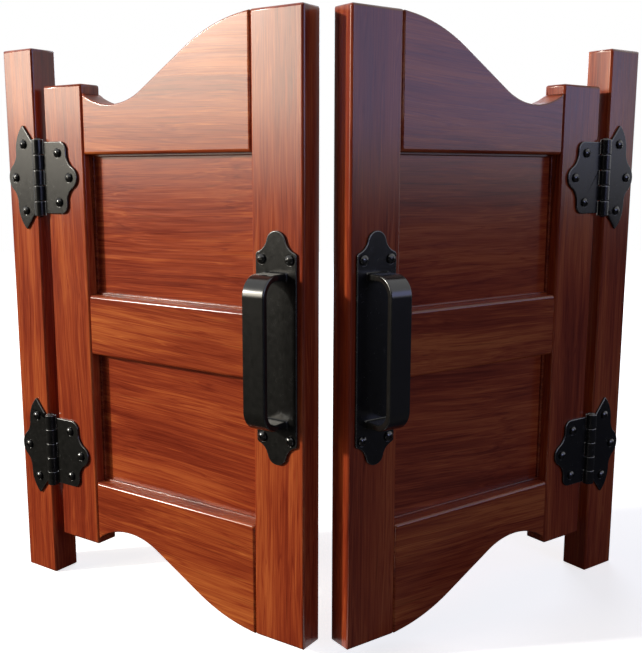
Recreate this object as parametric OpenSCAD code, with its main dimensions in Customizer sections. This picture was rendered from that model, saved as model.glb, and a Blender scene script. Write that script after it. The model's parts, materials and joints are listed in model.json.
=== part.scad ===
// Saloon doors: two framed and panelled leaves, each hung on its own post, meeting in a shallow V
// One half is drawn flat, with the front of its wood at y = 0, and is then turned into place
// x runs from the leaf's hinge edge to its free edge, y runs to the back, z runs up from the post's foot

/* [Setting] */
// Turn of each post and leaf out of the doorway's plane, in degrees
splay = 35; // [0:1:45]
// Gap between the back corners of the two free edges
centre_gap = 14; // [8:1:30]
// Height of the leaf's lowest edge above the post's foot
leaf_lift = 15; // [5:1:60]

/* [Posts] */
// Width of a post across its front
post_w = 62.5; // [55:0.5:90]
// Depth of a post from front to back
post_d = 43; // [35:1:70]
// How far the top of a post stays below the top of its leaf
post_drop = 15; // [0:1:40]

/* [Leaf frame] */
// Height of a leaf at its meeting stile
leaf_h = 780; // [700:5:1000]
// Width of a leaf
leaf_w = 444; // [400:1:560]
// Thickness of the stiles and rails
leaf_t = 35; // [32:1:45]
// Width of a stile
stile_w = 77; // [70:1:95]
// How far the top of the hinge stile stays below the top of the leaf
stile_drop = 68.5; // [60:0.5:76]
// Height of the hinge stile's foot above the leaf's lowest edge
stile_rise = 54; // [45:1:60]
// Depth of the top rail, from the top of the leaf to the upper opening
top_rail_h = 163; // [150:1:190]
// Height of the middle rail
middle_rail_h = 84; // [65:1:100]
// Height of the middle rail's lower edge above the leaf's lowest edge
middle_rail_z = 339; // [320:0.5:360]
// Height of the bottom rail, from the leaf's lowest edge to the lower opening
bottom_rail_h = 149; // [136:0.5:170]
// Chamfer along the edges of the boards
arris = 2.5; // [0.5:0.1:4]

/* [Curved edges] */
// Depth of the dip in the top edge
top_dip = 98; // [90:1:106]
// Depth of the dip in the bottom edge
bottom_dip = 85; // [78:1:92]
// Distance from the hinge stile to the bottom of the top edge's dip
top_dip_in = 56; // [45:1:68]
// Distance from the hinge stile to the crown of the bottom edge's dip
bottom_dip_in = 65; // [50:1:72]
// How far past the rail's end the curve comes level
crest_past = 18; // [5:1:30]
// Steepness of the curve, from a straight slope to two arcs with no straight between them
slope_share = 0.75; // [0.65:0.01:0.9]
// Part of the two arcs' radii that the dip takes
dip_share = 0.31; // [0.28:0.01:0.5]

/* [Panels and beads] */
// Thickness of a panel
panel_t = 8; // [5:0.5:10]
// Depth of the panel's back inside the back of the leaf
panel_back = 8.5; // [5:0.5:12]
// Depth of the groove that holds a panel
groove_d = 10; // [6:0.5:12]
// Room for a panel's edge to move at the bottom of its groove
groove_room = 2; // [1:0.5:4]
// Depth of the bead in front of a panel, from front to back
bead_d = 3.5; // [2.5:0.5:6]
// Height of the bead above the wood that it lines
bead_h = 3.5; // [2:0.5:6]
// Rounding of the bead's front edge
bead_r = 1.2; // [0.5:0.1:1.2]

/* [Joinery] */
// Length of a rail's tenon
tenon_l = 40; // [25:1:60]
// Thickness of a tenon
tenon_t = 11; // [8:0.5:14]
// Wood left between a panel's groove and a tenon
tenon_wall = 3; // [2:0.5:6]
// Clearance of a tenon or a panel in its slot
slot_clearance = 0.2; // [0.1:0.05:0.5]

/* [Hinges] */
// Distance from the top of the hinge stile down to the middle of the upper hinge
upper_hinge_drop = 126; // [110:1:145]
// Distance from the foot of the hinge stile up to the middle of the lower hinge
lower_hinge_rise = 131; // [115:1:150]
// Thickness of the hinge plates
hinge_t = 3.5; // [2.5:0.1:5]
// Radius of the barrel
barrel_r = 8; // [7:0.1:10]
// Length of the barrel
barrel_l = 108; // [96:1:120]
// Number of knuckles in the barrel
knuckles = 5; // [3:2:7]
// Gap between one knuckle and the next
knuckle_gap = 0.8; // [0.3:0.05:1.2]
// Radius of the pin
pin_r = 4; // [3:0.1:5]
// Clearance round the pin
pin_clearance = 0.05; // [0.02:0.01:0.1]
// Radius of the pin's peened ends
pin_end_r = 5.2; // [5.1:0.1:6.5]
// Height of the pin's peened ends
pin_end_h = 2.4; // [1.5:0.1:4]
// How far the pin's axis stands in front of the plates
axis_lift = 1.5; // [1:0.1:3]
// Room between the barrel and the edges of the post and the leaf
barrel_room = 2.5; // [1:0.1:5]
// Room between the barrel and the straight edge of a plate
plate_room = 1.2; // [0.8:0.1:2]

/* [Post plates of the hinges] */
// Height of the plate from tip to tip
post_plate_h = 148; // [140:1:160]
// Distance of the tips from the pin's axis
post_tip_x = 34; // [28:0.5:38]
// Height above the middle at which a horn's slanted edge meets the barrel
post_horn_z = 44.5; // [40:0.5:50]
// Distance of the plate's shoulders from the pin's axis
post_shoulder_x = 50.5; // [46:0.5:54]
// Height above the middle at which a horn starts to curve
post_shoulder_z = 38.5; // [37.5:0.5:41]
// Reach of the middle lobe from the pin's axis
post_lobe_x = 68; // [64:0.5:72]
// Radius of the middle lobe
post_lobe_r = 22; // [18:0.5:24]
// Height above the middle at which the hollow beside the lobe runs out
post_hollow_z = 36; // [32:0.5:37]
// Distance of the outer screws from the pin's axis
post_screw_x = 32.5; // [26:0.5:36]
// Height of the outer screws above and below the middle
post_screw_z = 47; // [44:0.5:50]
// Distance of the middle screw from the pin's axis
post_middle_screw_x = 52; // [44:0.5:56]

/* [Leaf plates of the hinges] */
// Height of the plate
leaf_plate_h = 100; // [94:1:106]
// Distance of the plate's outer edge from the pin's axis
leaf_edge_x = 55; // [52:0.5:60]
// Rounding of the plate's corners
leaf_corner_r = 12; // [8:0.5:14]
// Reach of the middle lobe from the pin's axis
leaf_lobe_x = 75.5; // [70:0.5:79]
// Radius of the middle lobe
leaf_lobe_r = 16; // [12:0.5:20]
// Height above the middle at which the hollow beside the lobe runs out
leaf_hollow_z = 34; // [30:0.5:35]
// Distance of the outer screws from the pin's axis
leaf_screw_x = 39.5; // [34:0.5:44]
// Height of the outer screws above and below the middle
leaf_screw_z = 34; // [30:0.5:38]
// Distance of the middle screw from the pin's axis
leaf_middle_screw_x = 61; // [54:0.5:65]

/* [Pulls] */
// Width of the plate
pull_w = 60; // [54:0.5:68]
// Height of the plate's straight sides above and below the screws
pull_shoulder_h = 9; // [8:0.5:14]
// Rise of a finial above the straight sides
finial_h = 25; // [21:0.5:36]
// Rounding of the plate's shoulders
pull_corner_r = 5; // [3:0.5:8]
// Thickness of the plate
pull_t = 3.5; // [2.5:0.1:5]
// Radius of the finials
finial_r = 14; // [12:0.5:17]
// Radius of the hollow between a finial and a shoulder
finial_hollow_r = 20; // [14:0.5:28]
// Width of the grip's flat bar
grip_w = 32; // [26:0.5:38]
// Thickness of the grip's flat bar
grip_t = 8; // [5:0.5:10]
// Height of the grip
grip_h = 188; // [160:1:200]
// How far the grip stands out from the plate
grip_out = 45.5; // [38:0.5:60]
// Outer radius of the grip's bends
grip_r = 26; // [18:0.5:34]
// How far the grip's ends flare out where they sit on the plate
grip_flare = 2; // [1:0.5:4]
// Distance between the screws across the plate
pull_screw_w = 41.5; // [38:0.5:44]
// Room along the plate between the grip's flared ends and the screws' rings
pull_screw_room = 7.1; // [4:0.1:12]

/* [Screws] */
// Radius of the head
head_r = 6; // [5:0.1:6.5]
// Height of the head
head_h = 5.4; // [4:0.1:6.5]
// Height of the head's straight rim
rim_h = 1.6; // [0.8:0.1:2.2]
// Length of the cross slot's arms, from end to end
cross_l = 6.4; // [5:0.1:8]
// Width of the cross slot's arms
cross_w = 1.5; // [1:0.1:2]
// Depth of the cross slot
cross_d = 2; // [1:0.1:2.6]
// Radius of the shank
shank_r = 2.3; // [1.8:0.1:2.8]
// Length of the shank under the head
screw_l = 24; // [18:1:28]
// Depth of the ring in which a head sits
ring_d = 0.9; // [0.5:0.1:1.5]
// Gap round a head in its ring
ring_gap = 0.9; // [0.4:0.1:1.5]
// Clearance of a shank in its hole
hole_clearance = 0.05; // [0.02:0.01:0.1]
// Room left below the point of a screw
hole_room = 1; // [0.5:0.5:3]

/* [Hidden] */
// Fineness of round shapes
$fn = 64;
// Overrun of a cut past the face that it opens
overrun = 1;
// How far one outline is tucked into the next where a straight edge runs into an arc
tuck = 0.05;
wood_colour = "#8c4526";
panel_colour = "#7d3b22";
bead_colour = "#6a301c";
iron_colour = "#2a2927";
screw_colour = "#353433";

// Places across the width of one half
hinge_gap = 2 * (barrel_r + barrel_room);
axis_x = -hinge_gap / 2;
axis_y = -(hinge_t + axis_lift);
post_x = -hinge_gap - post_w;
rail_x = stile_w;
rail_l = leaf_w - 2 * stile_w;
meeting_x = leaf_w - stile_w;
pull_x = leaf_w - stile_w / 2;

// Places up the height of the leaf, from its lowest edge
stile_top = leaf_h - stile_drop;
top_rail_z = leaf_h - top_rail_h;
middle_rail_top = middle_rail_z + middle_rail_h;
upper_hinge_z = stile_top - upper_hinge_drop;
lower_hinge_z = stile_rise + lower_hinge_rise;
pull_z = middle_rail_z + middle_rail_h / 2;
post_h = leaf_lift + leaf_h - post_drop;

// Places through the thickness of the leaf, from its front
panel_y = leaf_t - panel_back - panel_t;
bead_y = panel_y - bead_d;
tenon_y = (leaf_t - tenon_t) / 2;
tongue_l = groove_d - groove_room;
tenon_shoulder = groove_d + tenon_wall;

// Heights on a pull's plate: between the screws, of the straight sides, and from finial to finial
pull_screw_h = grip_h + 2 * (grip_flare + pull_screw_room + ring_gap + head_r);
pull_side_h = pull_screw_h + 2 * pull_shoulder_h;
pull_h = pull_side_h + 2 * finial_h;

// Distance of a hinge plate's straight edge from the pin's axis
plate_edge_x = barrel_r + plate_room;
// Length of a horn's slanted edge before the arc cuts it, as a share of its own length
tip_share = 1.3;

// Places of the screws: across from the pin's axis or the plate's middle, and up from the middle
post_screws_at = [[post_screw_x, post_screw_z], [post_middle_screw_x, 0], [post_screw_x, -post_screw_z]];
leaf_screws_at = [[leaf_screw_x, leaf_screw_z], [leaf_middle_screw_x, 0], [leaf_screw_x, -leaf_screw_z]];
pull_screws_at = [for (x = [-1, 1], z = [-1, 1]) [x * pull_screw_w / 2, z * pull_screw_h / 2]];

// Place of the halves: the leaves meet on the middle plane, and the whole is centred from front to back
hinge_x = centre_gap / 2 + leaf_w * cos(splay) + leaf_t * sin(splay);
back_y = (hinge_gap + post_w - arris) * sin(splay) + post_d * cos(splay);
front_y = (pull_x + grip_w / 2) * sin(splay) + (pull_t + grip_out) * cos(splay);
half_y = (front_y - back_y) / 2;

SIDES = ["left", "right"];
LEVELS = ["upper", "lower"];
WOOD_PARTS = [
    "post", "hinge_stile", "meeting_stile", "top_rail", "middle_rail", "bottom_rail",
    "upper_panel", "lower_panel", "upper_beads", "lower_beads"
];
HINGE_PARTS = ["hinge_post_plate", "hinge_leaf_plate", "hinge_pin", "hinge_post_screws", "hinge_leaf_screws"];
PULL_PARTS = ["pull_plate", "pull_grip", "pull_screws"];
LEVEL_PARTS = [for (level = LEVELS, part = HINGE_PARTS) str(level, "_", part)];

function hinge_z(level) = level == "upper" ? upper_hinge_z : lower_hinge_z;

// Where two circles cross, on the left of the line from the first centre to the second
function crossing(a, a_r, b, b_r) =
    let (
        span = norm(b - a),
        along = (b - a) / span,
        reach = (span * span + a_r * a_r - b_r * b_r) / (2 * span),
        rise = sqrt(max(0, a_r * a_r - reach * reach))
    )
    a + along * reach + [-along[1], along[0]] * rise;

// Places that the parts share

module half(side) {
    if (side == "right") mirror([1, 0, 0]) turned() children();
    else turned() children();
}

module turned() {
    translate([-hinge_x, half_y, 0]) rotate([0, 0, -splay]) children();
}

module in_leaf() {
    translate([0, 0, leaf_lift]) children();
}

module at_hinge(level) {
    translate([axis_x, 0, leaf_lift + hinge_z(level)]) children();
}

module at_pull() {
    translate([pull_x, 0, leaf_lift + pull_z]) children();
}

// Shapes that repeat

// Stands an outline of the front view up as a slab that reaches from depth y to depth y + t
module slab(y, t) {
    translate([0, y + t, 0]) rotate([90, 0, 0]) linear_extrude(t) children();
}

module eased_rectangle(w, h) {
    polygon([
        [arris, 0], [w - arris, 0], [w, arris], [w, h - arris],
        [w - arris, h], [arris, h], [0, h - arris], [0, arris]
    ]);
}

// A straight board whose edges are chamfered, apart from those that run from front to back
module board(w, t, h) {
    intersection() {
        linear_extrude(h) eased_rectangle(w, t);
        rotate([90, 0, 90]) linear_extrude(w) eased_rectangle(t, h);
    }
}

// A board with free ends, chamfered on all its edges
module free_board(w, t, h) {
    intersection() {
        board(w, t, h);
        slab(0, t) eased_rectangle(w, h);
    }
}

// Outline of an S-shaped edge and the wood below it, drawn from the bottom of its dip
module ogee(body, rise, dip_in) {
    run = rail_l - dip_in + crest_past;
    slope = slope_share * 2 * atan(rise / run);
    radii = (run * sin(slope) - rise * cos(slope)) / (1 - cos(slope));
    dip_r = dip_share * radii;
    crest_r = radii - dip_r;
    dip = [0, dip_r];
    crest = [run, rise - crest_r];
    across_slope = [-sin(slope), cos(slope)];
    dip_end = dip - (dip_r - tuck) * across_slope;
    crest_start = crest + (crest_r - tuck) * across_slope;
    difference() {
        union() {
            polygon([
                [-dip_in - overrun, -body - overrun], [run, -body - overrun], [run, rise],
                crest_start, dip_end, dip, [-dip_in - overrun, dip_r]
            ]);
            translate(crest) circle(crest_r);
        }
        translate(dip) circle(dip_r);
    }
}

// The tenons at both ends of a rail, or their mortises when room is given
module tenons(z, h, room = 0) {
    translate([rail_x - tenon_l - room, tenon_y - room, z - room])
        cube([rail_l + 2 * (tenon_l + room), tenon_t + 2 * room, h + 2 * room]);
}

module top_tenons(room = 0) {
    tenons(top_rail_z + tenon_shoulder, top_rail_h - top_dip - tenon_shoulder - tenon_wall, room);
}

module middle_tenons(room = 0) {
    tenons(middle_rail_z + tenon_shoulder, middle_rail_h - 2 * tenon_shoulder, room);
}

module bottom_tenons(room = 0) {
    tenons(bottom_dip + tenon_wall, bottom_rail_h - bottom_dip - tenon_shoulder - tenon_wall, room);
}

// A panel that reaches past its opening on every side, or its groove when room is given
module panel_body(z, h, past, room = 0) {
    translate([rail_x - past, panel_y - room, z - past])
        cube([rail_l + 2 * past, panel_t + 2 * room, h + 2 * past]);
}

module upper_panel_body(past, room = 0) {
    panel_body(middle_rail_top, top_rail_z - middle_rail_top, past, room);
}

module lower_panel_body(past, room = 0) {
    panel_body(bottom_rail_h, middle_rail_z - bottom_rail_h, past, room);
}

module panel_grooves() {
    upper_panel_body(groove_d, slot_clearance);
    lower_panel_body(groove_d, slot_clearance);
}

module stile_cuts() {
    top_tenons(slot_clearance);
    middle_tenons(slot_clearance);
    bottom_tenons(slot_clearance);
    panel_grooves();
}

module bead_section() {
    square([bead_d, bead_h - bead_r]);
    translate([bead_r, 0]) square([bead_d - bead_r, bead_h]);
    translate([bead_r, bead_h - bead_r]) circle(bead_r);
}

// One strip of bead with mitred ends, lying along x with its rounded edge up
module bead_strip(l) {
    intersection() {
        rotate([90, 0, 90]) linear_extrude(l) bead_section();
        slab(0, bead_d) polygon([[0, 0], [l, 0], [l - bead_h, bead_h], [bead_h, bead_h]]);
    }
}

module bead_frame(z, h) {
    translate([rail_x, bead_y, z]) {
        bead_strip(rail_l);
        translate([0, 0, h]) mirror([0, 0, 1]) bead_strip(rail_l);
        mirror([1, 0, -1]) bead_strip(h);
        translate([rail_l, 0, 0]) mirror([1, 0, 0]) mirror([1, 0, -1]) bead_strip(h);
    }
}

// A round lobe that reaches out to x, with hollows that run out at hollow_z on a straight edge at edge_x
module lobe(x, r, edge_x, hollow_z) {
    out = x - edge_x;
    hollow_r = (hollow_z * hollow_z + out * out) / (2 * out) - r;
    foot_x = min(edge_x, x - r) - tuck;
    translate([x - r, 0]) circle(r);
    for (up = [-1, 1]) {
        hollow = [edge_x + hollow_r, up * hollow_z];
        difference() {
            polygon([[foot_x, 0], [x - r, 0], hollow, [foot_x, up * hollow_z]]);
            translate(hollow) circle(hollow_r);
        }
    }
}

// One horn of a post plate: a slanted edge on the barrel's side and an arc on the other, meeting in a tip
module horn() {
    foot = [plate_edge_x, post_horn_z];
    tip = [post_tip_x, post_plate_h / 2];
    past_tip = foot + tip_share * (tip - foot);
    arc_end_x = post_shoulder_x - tuck;
    arc_w = arc_end_x - tip[0];
    arc_h = tip[1] - post_shoulder_z;
    arc_r = (arc_w * arc_w + arc_h * arc_h) / (2 * arc_w);
    intersection() {
        polygon([
            [plate_edge_x, post_shoulder_z], [post_lobe_x, post_shoulder_z],
            [post_lobe_x, past_tip[1]], past_tip, foot
        ]);
        translate([arc_end_x - arc_r, post_shoulder_z]) circle(arc_r);
    }
}

module post_plate_outline() {
    translate([plate_edge_x, -post_shoulder_z])
        square([post_shoulder_x - plate_edge_x, 2 * post_shoulder_z]);
    lobe(post_lobe_x, post_lobe_r, post_shoulder_x, post_hollow_z);
    horn();
    mirror([0, 1]) horn();
}

module leaf_plate_outline() {
    corner_x = leaf_edge_x - leaf_corner_r;
    corner_z = leaf_plate_h / 2 - leaf_corner_r;
    translate([plate_edge_x, -leaf_plate_h / 2]) square([corner_x - plate_edge_x, leaf_plate_h]);
    translate([plate_edge_x, -corner_z]) square([leaf_edge_x - plate_edge_x, 2 * corner_z]);
    for (up = [-1, 1]) translate([corner_x, up * corner_z]) circle(leaf_corner_r);
    lobe(leaf_lobe_x, leaf_lobe_r, leaf_edge_x, leaf_hollow_z);
}

// Every other knuckle of a barrel, counted from below, each with the strap that joins it to its plate
module knuckle_rings(first) {
    pitch = barrel_l / knuckles;
    length = pitch - knuckle_gap;
    for (k = [first : 2 : knuckles - 1]) {
        translate([0, 0, k * pitch + (knuckle_gap - barrel_l) / 2]) {
            translate([0, axis_y, 0]) cylinder(r = barrel_r, h = length);
            translate([0, -hinge_t, 0]) cube([plate_edge_x + plate_room, hinge_t, length]);
        }
    }
}

// One plate of a hinge with its knuckles, drawn from the pin's axis towards +x
module hinge_plate(first, screws_at) {
    difference() {
        union() {
            slab(-hinge_t, hinge_t) children();
            knuckle_rings(first);
        }
        translate([0, axis_y, -barrel_l / 2 - overrun])
            cylinder(r = pin_r + pin_clearance, h = barrel_l + 2 * overrun);
        plate_holes(screws_at, hinge_t);
    }
}

// A dome over a round base, its flat side down
module dome(r, h) {
    ball_r = (r * r + h * h) / (2 * h);
    intersection() {
        cylinder(r = r, h = h);
        translate([0, 0, h - ball_r]) sphere(ball_r);
    }
}

// The rounded end of a pull's plate, with its shoulders and the hollows that lead down to them
module finial() {
    centre = [0, pull_h / 2 - finial_r];
    shoulder = [pull_w / 2 - pull_corner_r, pull_side_h / 2 - pull_corner_r];
    hollow = crossing(centre, finial_r + finial_hollow_r, shoulder, pull_corner_r + finial_hollow_r);
    translate(centre) circle(finial_r);
    for (across = [0, 1]) {
        mirror([across, 0]) {
            translate(shoulder) circle(pull_corner_r);
            difference() {
                polygon([centre, [0, 0], [shoulder[0], 0], shoulder, hollow]);
                translate(hollow) circle(finial_hollow_r);
            }
        }
    }
}

module pull_outline() {
    square([pull_w, pull_side_h - 2 * pull_corner_r], center = true);
    finial();
    mirror([0, 1]) finial();
}

// Side view of a U-shaped loop that stands out from x = 0, or of the space inside it
module loop(out, h, r, start = 0) {
    translate([start, -h / 2]) square([out - r - start, h]);
    translate([start, r - h / 2]) square([out - start, h - 2 * r]);
    intersection() {
        for (up = [-1, 1]) translate([out - r, up * (h / 2 - r)]) circle(r);
        translate([start, -h / 2]) square([out - start, h]);
    }
}

// A slanted outline that runs from x = 0 into a bar of width w, wider by grip_flare where it starts
module flare_outline(w) {
    in = grip_flare + tuck;
    wide = w / 2 + grip_flare;
    narrow = w / 2 - tuck;
    polygon([[0, -wide], [in, -narrow], [in, narrow], [0, wide]]);
}

// The flare round one end of a grip, from the plate outwards
module flare() {
    w = grip_w + 2 * grip_flare;
    t = grip_t + 2 * grip_flare;
    intersection() {
        translate([-w / 2, 0, 0]) rotate([90, 0, 90]) linear_extrude(w) flare_outline(grip_t);
        translate([0, 0, -t / 2]) linear_extrude(t) rotate(90) flare_outline(grip_w);
    }
}

// Sets a shape that points along z at each place of a plate's screws, pointing out of its front
module at_screws(screws_at) {
    for (place = screws_at) translate([place[0], 0, place[1]]) rotate([90, 0, 0]) children();
}

module plate_holes(screws_at, plate_t) {
    at_screws(screws_at) {
        translate([0, 0, -overrun]) cylinder(r = shank_r + hole_clearance, h = plate_t + 2 * overrun);
        translate([0, 0, plate_t - ring_d]) cylinder(r = head_r + ring_gap, h = ring_d + overrun);
    }
}

module pilot_holes(screws_at, plate_t) {
    depth = screw_l - plate_t + ring_d + hole_room;
    at_screws(screws_at)
        translate([0, 0, -depth]) cylinder(r = shank_r + hole_clearance, h = depth + overrun);
}

module screws(screws_at, plate_t) {
    at_screws(screws_at) translate([0, 0, plate_t - ring_d]) screw();
}

// One screw, its head above z = 0
module screw() {
    difference() {
        union() {
            translate([0, 0, -screw_l]) cylinder(r = shank_r, h = screw_l + rim_h);
            cylinder(r = head_r, h = rim_h);
            translate([0, 0, rim_h]) dome(head_r, head_h - rim_h);
        }
        for (turn = [0, 90]) {
            rotate(turn)
                translate([-cross_l / 2, -cross_w / 2, head_h - cross_d])
                    cube([cross_l, cross_w, cross_d + overrun]);
        }
    }
}

// Wooden parts

module post() {
    color(wood_colour)
        difference() {
            translate([post_x, 0, 0]) free_board(post_w, post_d, post_h);
            for (level = LEVELS) at_hinge(level) mirror([1, 0, 0]) pilot_holes(post_screws_at, hinge_t);
        }
}

module hinge_stile() {
    color(wood_colour)
        difference() {
            in_leaf() translate([0, 0, stile_rise]) free_board(stile_w, leaf_t, stile_top - stile_rise);
            in_leaf() stile_cuts();
            for (level = LEVELS) at_hinge(level) pilot_holes(leaf_screws_at, hinge_t);
        }
}

module meeting_stile() {
    color(wood_colour)
        difference() {
            in_leaf() translate([meeting_x, 0, 0]) free_board(stile_w, leaf_t, leaf_h);
            in_leaf() stile_cuts();
            at_pull() pilot_holes(pull_screws_at, pull_t);
        }
}

module top_rail() {
    color(wood_colour)
        in_leaf()
            difference() {
                union() {
                    intersection() {
                        translate([rail_x, 0, top_rail_z]) board(rail_l, leaf_t, top_rail_h + arris);
                        translate([rail_x + top_dip_in, 0, leaf_h - top_dip])
                            slab(0, leaf_t) ogee(top_rail_h - top_dip, top_dip, top_dip_in);
                    }
                    top_tenons();
                }
                panel_grooves();
            }
}

module middle_rail() {
    color(wood_colour)
        in_leaf()
            difference() {
                union() {
                    translate([rail_x, 0, middle_rail_z]) board(rail_l, leaf_t, middle_rail_h);
                    middle_tenons();
                }
                panel_grooves();
            }
}

module bottom_rail() {
    color(wood_colour)
        in_leaf()
            difference() {
                union() {
                    intersection() {
                        translate([rail_x, 0, -arris]) board(rail_l, leaf_t, bottom_rail_h + arris);
                        translate([rail_x + bottom_dip_in, 0, bottom_dip])
                            mirror([0, 0, 1])
                                slab(0, leaf_t) ogee(bottom_rail_h - bottom_dip, bottom_dip, bottom_dip_in);
                    }
                    bottom_tenons();
                }
                panel_grooves();
            }
}

module upper_panel() {
    color(panel_colour) in_leaf() upper_panel_body(tongue_l);
}

module lower_panel() {
    color(panel_colour) in_leaf() lower_panel_body(tongue_l);
}

module upper_beads() {
    color(bead_colour) in_leaf() bead_frame(middle_rail_top, top_rail_z - middle_rail_top);
}

module lower_beads() {
    color(bead_colour) in_leaf() bead_frame(bottom_rail_h, middle_rail_z - bottom_rail_h);
}

// Parts of a hinge

module hinge_post_plate(level) {
    color(iron_colour)
        at_hinge(level) mirror([1, 0, 0]) hinge_plate(0, post_screws_at) post_plate_outline();
}

module hinge_leaf_plate(level) {
    color(iron_colour) at_hinge(level) hinge_plate(1, leaf_screws_at) leaf_plate_outline();
}

module hinge_pin(level) {
    color(iron_colour)
        at_hinge(level)
            translate([0, axis_y, 0]) {
                cylinder(r = pin_r, h = barrel_l, center = true);
                for (up = [0, 1])
                    mirror([0, 0, up])
                        translate([0, 0, (barrel_l - knuckle_gap) / 2]) dome(pin_end_r, pin_end_h);
            }
}

module hinge_post_screws(level) {
    color(screw_colour) at_hinge(level) mirror([1, 0, 0]) screws(post_screws_at, hinge_t);
}

module hinge_leaf_screws(level) {
    color(screw_colour) at_hinge(level) screws(leaf_screws_at, hinge_t);
}

// Parts of a pull

module pull_plate() {
    color(iron_colour)
        at_pull()
            difference() {
                slab(-pull_t, pull_t) pull_outline();
                plate_holes(pull_screws_at, pull_t);
            }
}

module pull_grip() {
    color(iron_colour)
        at_pull()
            translate([0, -pull_t, 0])
                mirror([0, 1, 0]) {
                    translate([-grip_w / 2, 0, 0])
                        rotate([90, 0, 90])
                            linear_extrude(grip_w)
                                difference() {
                                    loop(grip_out, grip_h, grip_r);
                                    loop(grip_out - grip_t, grip_h - 2 * grip_t, grip_r - grip_t, -overrun);
                                }
                    for (up = [-1, 1]) translate([0, 0, up * (grip_h - grip_t) / 2]) flare();
                }
}

module pull_screws() {
    color(screw_colour) at_pull() screws(pull_screws_at, pull_t);
}

// The parts, each drawn in its place

for (side = SIDES) {
    half(side) post();
    half(side) hinge_stile();
    half(side) meeting_stile();
    half(side) top_rail();
    half(side) middle_rail();
    half(side) bottom_rail();
    half(side) upper_panel();
    half(side) lower_panel();
    half(side) upper_beads();
    half(side) lower_beads();
    for (level = LEVELS) {
        hinge = str(side, "_", level, "_hinge");
        half(side) hinge_post_plate(level);
        half(side) hinge_leaf_plate(level);
        half(side) hinge_pin(level);
        half(side) hinge_post_screws(level);
        half(side) hinge_leaf_screws(level);
    }
    half(side) pull_plate();
    half(side) pull_grip();
    half(side) pull_screws();
}
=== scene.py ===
# %% [markdown]
# # Saloon doors
# Two framed and panelled half doors hang on posts by black iron hinges, and each has a wide pull. The
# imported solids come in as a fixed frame: every board, plate, pin and screw already has its place and its
# true size, in metres. They could be shown as they are, but their edges are hard and their colours flat.
# This lesson dresses them: boards and plates get soft edges, a node tree sets the screws, and every surface
# gets a finish made of nodes, so that the doors look right from any side.

# %% Load the frame
import json
import math

import bmesh
import bpy
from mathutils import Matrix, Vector


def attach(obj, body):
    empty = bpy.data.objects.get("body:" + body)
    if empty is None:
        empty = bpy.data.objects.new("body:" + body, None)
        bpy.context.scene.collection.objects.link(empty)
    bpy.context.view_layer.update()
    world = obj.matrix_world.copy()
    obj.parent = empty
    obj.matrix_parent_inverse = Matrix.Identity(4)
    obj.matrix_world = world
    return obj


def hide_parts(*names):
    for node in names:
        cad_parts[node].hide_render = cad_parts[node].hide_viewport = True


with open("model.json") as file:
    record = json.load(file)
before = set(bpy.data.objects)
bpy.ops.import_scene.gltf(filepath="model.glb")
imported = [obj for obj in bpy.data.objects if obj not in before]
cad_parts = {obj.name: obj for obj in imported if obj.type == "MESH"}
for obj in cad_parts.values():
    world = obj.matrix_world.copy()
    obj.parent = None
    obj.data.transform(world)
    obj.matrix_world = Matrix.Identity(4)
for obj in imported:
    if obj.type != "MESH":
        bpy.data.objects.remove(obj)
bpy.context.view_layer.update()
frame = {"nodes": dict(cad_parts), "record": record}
nodes = frame["nodes"]
bodies = frame["record"]["behaviour"]["bodies"]
body_of = {node: body for body, members in bodies.items() for node in members}
print("nodes in the frame:", len(nodes))

# %% [markdown]
# ## Directions
# The two halves stand in a V. Their angle could be copied by hand, but then it would have to be changed in
# two places. Each post's outer side is a mount in the record, and the direction of that mount gives the
# turn of the half. From it follow the way that a leaf's front faces and the turn that lays its wood grain
# flat.

# %% Directions of the two halves
SIDES = {"left": -1, "right": 1}
mount_axis = {mount["name"]: Vector(mount["axis"]) for mount in frame["record"]["mounts"]}
splay = math.atan2(mount_axis["right_post_side"].y, mount_axis["right_post_side"].x)
front = {side: Vector((sign * math.sin(splay), -math.cos(splay), 0)) for side, sign in SIDES.items()}
flat_turn = {side: -sign * splay for side, sign in SIDES.items()}
print("each half is turned by", round(math.degrees(splay), 2), "degrees")

# %% [markdown]
# ## Camera
# A photograph taken from close by shows strong perspective, so guessing a lens by eye seldom fits. The
# corners of the boards, whose sizes are known, fix the lens, the place and the tilt. The frame of the
# picture is a little off the lens's axis, which the two shift values take up.

# %% Camera
IMAGE_W, IMAGE_H = 642, 653
FOCAL_PX = 916.31
AXIS_PX = (306.47, 331.40)
SENSOR_MM = 36
CAMERA_AT = (-0.03032, -1.22046, 0.60549)
TILT_DOWN = math.radians(9.7305)
TURN_RIGHT = math.radians(0.3482)

scene = bpy.context.scene
camera_data = bpy.data.cameras.new("camera")
camera_data.sensor_width = SENSOR_MM
camera_data.lens = SENSOR_MM * FOCAL_PX / IMAGE_H
camera_data.shift_x = (IMAGE_W / 2 - AXIS_PX[0]) / IMAGE_H
camera_data.shift_y = (AXIS_PX[1] - IMAGE_H / 2) / IMAGE_H
camera = bpy.data.objects.new("camera", camera_data)
camera.location = CAMERA_AT
camera.rotation_euler = (math.pi / 2 - TILT_DOWN, 0, -TURN_RIGHT)
scene.collection.objects.link(camera)
scene.camera = camera
scene.view_settings.view_transform = "Standard"
print("lens:", round(camera_data.lens, 1), "mm")

# %% [markdown]
# ## Lamps
# The light is warm from the left and cool from the right. A picture of a sky could light the doors, but
# single lamps are easier to steer. A long soft box on the left lights the left leaf and lies as a pale
# sheen on the upper half of its varnish, and a weak one below it lets the sheen fade out. A small bright
# lamp draws the thin lines on the edges of the rails and on the bends of the grips. A cool pair on the
# right keeps the shaded leaf readable, and a weak lamp behind does the same for the back.

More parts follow.
